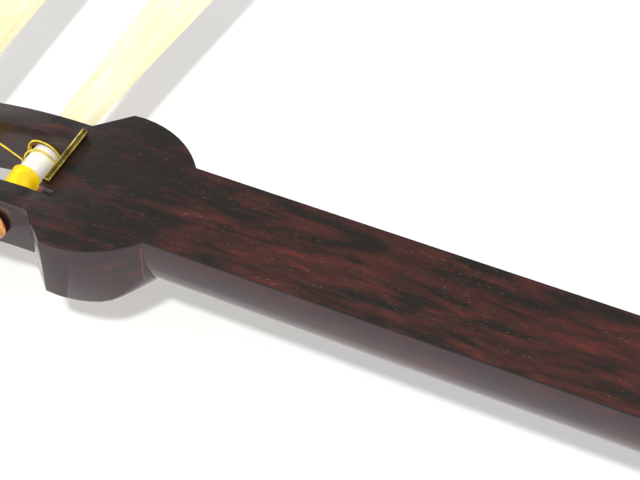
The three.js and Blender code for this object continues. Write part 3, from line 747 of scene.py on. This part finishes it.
def winding_points(peg, start, end, fullness):
    """Close turns round the shaft that build up inwards, the last one dropping to the shaft."""
    pitch = 2 * STRING_RADIUS * 1.1
    turns = (end - start - 2 * STRING_RADIUS) / pitch
    per_turn = 40
    count = int(turns * per_turn)
    points = []
    for i in range(count + 1):
        t = i / count
        y = start + STRING_RADIUS + pitch * turns * t
        wobble = 0.035 * math.sin(5.1 * t * turns) + 0.025 * math.sin(2.3 * t * turns + 1)
        radius = shaft_radius(y) + GAP + winding_build(fullness, t) - STRING_RADIUS + wobble
        points.append(peg.at(radius, y, math.tau * turns * t))
    for i in range(1, per_turn + 1):
        t = i / per_turn
        y = end - STRING_RADIUS + 0.5 * t
        top = shaft_radius(y) + GAP + fullness - STRING_RADIUS
        slack = 0.35 * math.sin(math.pi * t) ** 2
        radius = top + (shaft_radius(y) + STRING_RADIUS + 0.04 - top) * t + slack
        points.append(peg.at(radius, y, math.tau * (turns + t)))
    return points


for peg in PEGS.values():
    start, end, fullness = WINDINGS[peg.name]
    turns = tube_along(f"string_{peg.name}_turns", winding_points(peg, start, end, fullness), STRING_RADIUS)
    wound = join_meshes(f"string_{peg.name}_wound", [winding_core(peg, start, end, fullness), turns])
    finish_piece(smooth(wound, 60), f"peg_{peg.name}", "yellow_silk", SILK, f"string_{peg.name}_winding")

# a slack end of string, from the second peg to the first and round that bare shaft
THREAD_RADIUS = 0.28
THREAD_START = [(-35.5, 8.8, -9.6), (-30, 7.9, -7.4), (-24, 6.8, -7.2), (-19, 6, -8.4)]
# turns round the shaft, and there the distance along it and how far the string stands off it
THREAD_STATIONS = [
    (0.46, 6, 0.12),
    (0.75, 7.8, 0.12),
    (1, 8.7, 0.15),
    (1.25, 8.1, 0.12),
    (1.45, 7.4, 0.12),
    (1.75, 8.6, 0.15),
    (2, 9.8, 1.2),
    (2.1, 9.9, 1.9),
    (2.3, 9.9, 1.8),
    (2.47, 9.8, 0.3),
]


def catmull_rom(points, per_span):
    """A smooth line through points."""
    ends = [points[0] * 2 - points[1], *points, points[-1] * 2 - points[-2]]
    line = []
    for i in range(len(points) - 1):
        a, b, c, d = ends[i : i + 4]
        for k in range(per_span):
            t = k / per_span
            squared = (2 * a - 5 * b + 4 * c - d) * t * t
            cubed = (3 * b - a - 3 * c + d) * t**3
            line.append(0.5 * (2 * b + (c - a) * t + squared + cubed))
    return [*line, points[-1]]


def thread_points():
    """The slack string's route: its list of points, then its stations round the first peg's shaft."""
    peg = PEGS["first"]
    points = [place(*point) for point in THREAD_START]
    first, last = THREAD_STATIONS[0][0], THREAD_STATIONS[-1][0]
    steps = 42
    for i in range(steps + 1):
        turn = first + (last - first) * i / steps
        k = next((k for k, station in enumerate(THREAD_STATIONS) if k and station[0] >= turn - 1e-9), -1)
        a, b = THREAD_STATIONS[k - 1], THREAD_STATIONS[k]
        share = ease((turn - a[0]) / (b[0] - a[0]))
        y = a[1] + (b[1] - a[1]) * share
        radius = shaft_radius(y) + GAP + THREAD_RADIUS + a[2] + (b[2] - a[2]) * share
        points.append(peg.at(radius, y, math.tau * turn))
    return catmull_rom(points, 5)


thread_line = thread_points()
thread = tube_along("string_loose_thread", thread_line, THREAD_RADIUS, twist=0.5, plies=0.06)
finish_piece(thread, "upper_neck", "yellow_silk", SLACK_SILK, "string_loose_end")

# ---- arm guard ----
# the sound box's own sizes, which the guard and the tail cord follow
BODY_START = 624
BODY_LENGTH = 210
BODY_WIDTH = 195
BODY_DEPTH = 98
BODY_TOP = -7
SIDE_BOW = 4.5  # how far each side bows out along its length
DEPTH_BOW = 3.5  # and through its depth
BODY_CENTRE = BODY_START + BODY_LENGTH / 2
SKIN_TOP = BODY_TOP + 1.1


def near_side(x, z, offset):
    """Where the sound box's near side lies across the instrument, pushed out by an offset."""
    share = min(1.0, max(0.0, (BODY_TOP - z) / BODY_DEPTH))
    bulge = DEPTH_BOW * math.sin(math.pi * share) + offset
    half = BODY_LENGTH / 2 - SIDE_BOW - DEPTH_BOW + bulge
    t = (x - BODY_CENTRE + half) / (2 * half)
    return -(BODY_WIDTH / 2 - SIDE_BOW - DEPTH_BOW + bulge + SIDE_BOW * 4 * t * (1 - t))


GUARD_HALF = 76.6  # half its length
GUARD_LIP = -86.0  # how far in over the skin it reaches
GUARD_BACK = -88.6  # how far down the side
GUARD_INNER = 1.6  # from the side to its lining
GUARD_LIFT = 0.4  # from the skin to its lining
GUARD_THICK = 1.7
GUARD_ROUND = 2.6  # radius of the fold over the front edge
PIPING = 1.15  # radius of its edging


def guard_profile(x, offset):
    """The guard's section at x: over the front rim, round the edge and down the side."""
    top = SKIN_TOP + GUARD_LIFT + offset - GUARD_INNER
    edge = near_side(x, top, offset)
    points = [(GUARD_LIP + (edge + GUARD_ROUND - GUARD_LIP) * i / 7, top) for i in range(8)]
    for i in range(1, 8):
        angle = math.pi / 2 * i / 8
        y = edge + GUARD_ROUND - GUARD_ROUND * math.sin(angle)
        z = top - GUARD_ROUND + GUARD_ROUND * math.cos(angle)
        points.append((y, z))
    for i in range(41):
        z = top - GUARD_ROUND + (GUARD_BACK - top + GUARD_ROUND) * i / 40
        points.append((near_side(x, z, offset), z))
    return points


def guard_shell():
    """The guard as one closed shell, its cloth pulled in a little beside the piping and at each stitch."""
    steps = 150
    rings = []
    for i in range(steps + 1):
        x = BODY_CENTRE - GUARD_HALF + 2 * GUARD_HALF * i / steps
        from_end = GUARD_HALF - abs(x - BODY_CENTRE)
        outer = guard_profile(x, GUARD_INNER + GUARD_THICK)
        inner = guard_profile(x, GUARD_INNER)
        ring = []
        for k, (point, base) in enumerate(zip(outer, inner)):
            from_edge = min(from_end, math.dist(point, outer[0]), math.dist(point, outer[-1]))
            stitch = 0.75 + 0.25 * math.cos(math.tau * (x + k * 1.9) / 3.2)
            drawn = math.exp(-((from_edge / 2.2) ** 2)) * stitch
            wave = 0.12 * math.sin(x * 0.09 + k * 0.35) * math.sin(k * 0.21)
            share = 1 - 0.42 * drawn + wave
            y = base[0] + (point[0] - base[0]) * share
            z = base[1] + (point[1] - base[1]) * share
            ring.append(place(x, y, z))
        ring += [place(x, y, z) for y, z in reversed(inner)]
        rings.append(ring)
    return smooth(rings_mesh("arm_guard_cloth", rings), 50)


def guard_border():
    """A closed line round the guard's four edges, at the middle of its thickness."""
    middle = GUARD_INNER + GUARD_THICK / 2
    low, high = BODY_CENTRE - GUARD_HALF, BODY_CENTRE + GUARD_HALF
    line = []
    for i in range(120):
        x = low + (high - low) * i / 120
        line.append((x, *guard_profile(x, middle)[0]))
    line += [(high, *point) for point in guard_profile(high, middle)]
    for i in range(1, 120):
        x = high - (high - low) * i / 120
        line.append((x, *guard_profile(x, middle)[-1]))
    line += [(low, *point) for point in reversed(guard_profile(low, middle))]
    return [place(*point) for point in line]


def strand_path(points, offset, pitch, phase, step=0.5, swing=0.0):
    """A path that circles round another one, as a cord's strand does, moving in and out by a swing."""
    lengths = [0.0]
    for a, b in zip(points, points[1:]):
        lengths.append(lengths[-1] + (b - a).length)
    total = lengths[-1]
    count = max(8, int(total / (step * MM)))
    path = []
    normal = None
    k = 0
    for i in range(count + 1):
        s = total * i / count
        while k < len(lengths) - 2 and lengths[k + 1] < s:
            k += 1
        span = max(lengths[k + 1] - lengths[k], 1e-9)
        tangent = (points[k + 1] - points[k]).normalized()
        here = points[k] + (points[k + 1] - points[k]) * ((s - lengths[k]) / span)
        if normal is None:
            normal = UP if abs(tangent.dot(UP)) < 0.8 else ACROSS
        normal = (normal - tangent * normal.dot(tangent)).normalized()
        other = tangent.cross(normal)
        turn = math.tau * s / (pitch * MM) + phase
        radius = (offset + swing * math.cos(2 * turn + phase)) * MM
        path.append(here + normal * (radius * math.cos(turn)) + other * (radius * math.sin(turn)))
    return path


def laid_cord(name, points, radius, strands=3, pitch=4.2):
    """A cord of a few strands twisted together."""
    made = []
    for k in range(strands):
        path = strand_path(points, radius * 0.5, pitch, math.tau * k / strands)
        made.append(tube_along(f"{name}_{k}", path, radius * 0.56, sides=8))
    return smooth(join_meshes(name, made), 60)


def braided_cord(name, points, radius, pitch=5.2):
    """A round braid of four strands, two wound each way and passing over and under."""
    made = []
    for k in range(4):
        way = 1 if k < 2 else -1
        phase = math.pi * (k % 2) + (0 if k < 2 else math.pi / 2)
        path = strand_path(points, radius * 0.52, way * pitch, phase, step=0.45, swing=0.1 * radius * way)
        made.append(tube_along(f"{name}_{k}", path, radius * 0.5, sides=7))
    return smooth(join_meshes(name, made), 60)


finish_piece(guard_shell(), "sound_box", "brocade", BROCADE, "arm_guard")
finish_piece(laid_cord("arm_guard_piping", guard_border(), PIPING), "sound_box", "brocade", PIPING_SILK)

# ---- tail cord ----
CORD = 1.15  # radius of each run of cord
CORD_GAP = 2.36  # from one run to the next
CORD_TOP = SKIN_TOP + 0.3 + CORD
CORD_HEAD = 789.4  # where the three loops that take the strings end
END_FACE = BODY_START + BODY_LENGTH + 1.4
TIP_HALF = 6.0  # the tongue's tip, which the cord hangs on
TIP_TOP = -17
TIP_BOTTOM = -29
WHIPPING_TURNS = 7
WHIPPING_RADIUS = 0.42


def run_over_edge(y):
    """One run of the cord from its head end, over the rim and down the end board."""
    return [
        (CORD_HEAD + 1.2, y, CORD_TOP),
        (812, y, CORD_TOP + 0.05),
        (826, y, CORD_TOP),
        (833.2, y, CORD_TOP - 0.15),
        (836.2, y, CORD_TOP - 2.2),
        (END_FACE + 1.5, y, CORD_TOP - 5.5),
    ]


def tail_cord_paths():
    """Three loops at the head end. The outer runs go round the tongue's tip, the middle pair above it."""
    runs = [CORD_GAP * (k - 2.5) for k in range(6)]
    paths = []
    for y in (runs[2], runs[3]):
        paths.append(run_over_edge(y) + [(END_FACE + 1.7, y * 0.9, -12.2), (END_FACE + 1.7, 0.0, -13.6)])
    middle = paths[0] + list(reversed(paths[1]))[1:]
    around = []
    for layer, (near, far) in enumerate(((runs[1], runs[4]), (runs[0], runs[5]))):
        x = END_FACE + 1.6 + 2.1 * layer
        half = TIP_HALF + 0.6 + CORD
        ring = [(x, half * 0.9, TIP_TOP + 1.6), (x, half, TIP_TOP - 3), (x, half, TIP_BOTTOM + 3)]
        ring += [(x, half * 0.87, TIP_BOTTOM - 1.35), (x, 0.0, TIP_BOTTOM - 0.9 - CORD)]
        down = run_over_edge(near) + [(a, -b, c) for a, b, c in ring]
        up = run_over_edge(far) + ring[:-1]
        around.append(down + list(reversed(up)))
    turns = []
    for low, high in ((runs[0], runs[1]), (runs[2], runs[3]), (runs[4], runs[5])):
        centre = (low + high) / 2
        half = (high - low) / 2
        turn = []
        for i in range(9):
            angle = math.pi * i / 8
            x = CORD_HEAD + 1.2 - half * math.sin(angle)
            turn.append((x, centre - half * math.cos(angle), CORD_TOP))
        turns.append(turn)
    return [middle, *around, *turns]


def oval_whipping(name, centre, along, half, height):
    """Turns of thread bound round the flat bundle of cords."""
    normal = along.cross(ACROSS).normalized()
    path = []
    per_turn = 36
    for i in range(WHIPPING_TURNS * per_turn + 1):
        angle = math.tau * i / per_turn
        c, d = math.cos(angle), math.sin(angle)
        y = half * math.copysign(abs(c) ** 0.5, c)
        z = height * math.copysign(abs(d) ** 0.6, d)
        x = 2 * WHIPPING_RADIUS * (i / per_turn - WHIPPING_TURNS / 2)
        path.append(centre + along * (x * MM) + ACROSS * (y * MM) + normal * (z * MM))
    return tube_along(name, path, WHIPPING_RADIUS, sides=8)


cords = []
for k, path in enumerate(tail_cord_paths()):
    cords.append(braided_cord(f"cord_{k}", catmull_rom([place(*point) for point in path], 6), CORD))
tail_braid = smooth(join_meshes("tail_cord_braid", cords), 60)
finish_piece(tail_braid, "sound_box", "tail_braid", BRAID, "tail_cord")
BUNDLE = 3 * CORD_GAP + 0.25  # half the width of the runs side by side
# where each whipping is, along and above the fingerboard, and which way the bundle runs there
WHIPPINGS = [(796, CORD_TOP, ALONG), (818, CORD_TOP, ALONG), (END_FACE + 1.55, -10.2, -UP)]
for k, (x, z, direction) in enumerate(WHIPPINGS):
    band = oval_whipping(f"tail_cord_whipping_{k}", place(x, 0, z), direction, BUNDLE, CORD + 0.5)
    finish_piece(band, "sound_box", "tail_braid", WHIPPING_SILK)

# ---- floor, light and view ----
FLOOR_SIZE = 6.0
LIT_POINT = place(60, 0, -20)
# each lamp's way from the lit point and its distance, then its size in metres and its power in watts
KEY_LAMP = ((0.30, -0.66, 1.0), 1.9, 0.06, 26)
NUT_LAMP = ((-0.70, 0.61, 0.37), 1.2, 0.18, 0.5)
ROOM_STRENGTH = 1.62
ROOM_DIM = 0.28  # its strength about the way that the fingerboard mirrors to the camera
DIM_FROM = 0.36  # the cosine of the angle to that way where the room starts to dim
DIM_BY = 0.82  # and where it is all dim


def add_floor():
    """A wide pale table top under the instrument."""
    mesh = bpy.data.meshes.new("floor")
    half = FLOOR_SIZE / 2
    corners = [(-half, -half, 0), (half, -half, 0), (half, half, 0), (-half, half, 0)]
    mesh.from_pydata(corners, [], [(0, 1, 2, 3)])
    floor = link("floor", mesh)
    n = Nodes("pale_floor")
    n.set(Base_Color=(0.82, 0.82, 0.82, 1), Roughness=0.6)
    mesh.materials.append(n.material)


def add_lamp(name, way, distance, size, power):
    """A round lamp that faces the lit point."""
    data = bpy.data.lights.new(name, "AREA")
    data.shape = "DISK"
    data.size = size
    data.energy = power
    lamp = bpy.data.objects.new(name, data)
    bpy.context.scene.collection.objects.link(lamp)
    position = LIT_POINT + distance * Vector(way).normalized()
    direction = (LIT_POINT - position).normalized()
    lamp.location = position
    lamp.rotation_euler = direction.to_track_quat("-Z", "Y").to_euler()


def add_world():
    """An even white room, dimmer towards the part that the fingerboard mirrors to the camera."""
    world = bpy.data.worlds.new("studio")
    world.use_nodes = True
    tree = world.node_tree
    background = tree.nodes["Background"]
    background.inputs["Color"].default_value = (1, 0.99, 0.985, 1)
    coordinates = tree.nodes.new("ShaderNodeTexCoord")
    dot = tree.nodes.new("ShaderNodeVectorMath")
    dot.operation = "DOT_PRODUCT"
    to_camera = (place(*CAMERA_PLACE) - place(*CAMERA_TARGET)).normalized()
    mirrored = 2 * to_camera.dot(UP) * UP - to_camera
    dot.inputs[1].default_value = (mirrored + 0.3 * ALONG).normalized()
    spread = tree.nodes.new("ShaderNodeMapRange")
    spread.interpolation_type = "SMOOTHSTEP"
    spread.inputs["From Min"].default_value = DIM_FROM
    spread.inputs["From Max"].default_value = DIM_BY
    spread.inputs["To Min"].default_value = ROOM_STRENGTH
    spread.inputs["To Max"].default_value = ROOM_DIM
    tree.links.new(coordinates.outputs["Generated"], dot.inputs[0])
    tree.links.new(dot.outputs["Value"], spread.inputs["Value"])
    tree.links.new(spread.outputs["Result"], background.inputs["Strength"])
    bpy.context.scene.world = world


add_floor()
add_lamp("key", *KEY_LAMP)
add_lamp("nut_glint", *NUT_LAMP)
add_world()
bpy.context.scene.view_settings.view_transform = "Standard"

bpy.context.view_layer.update()
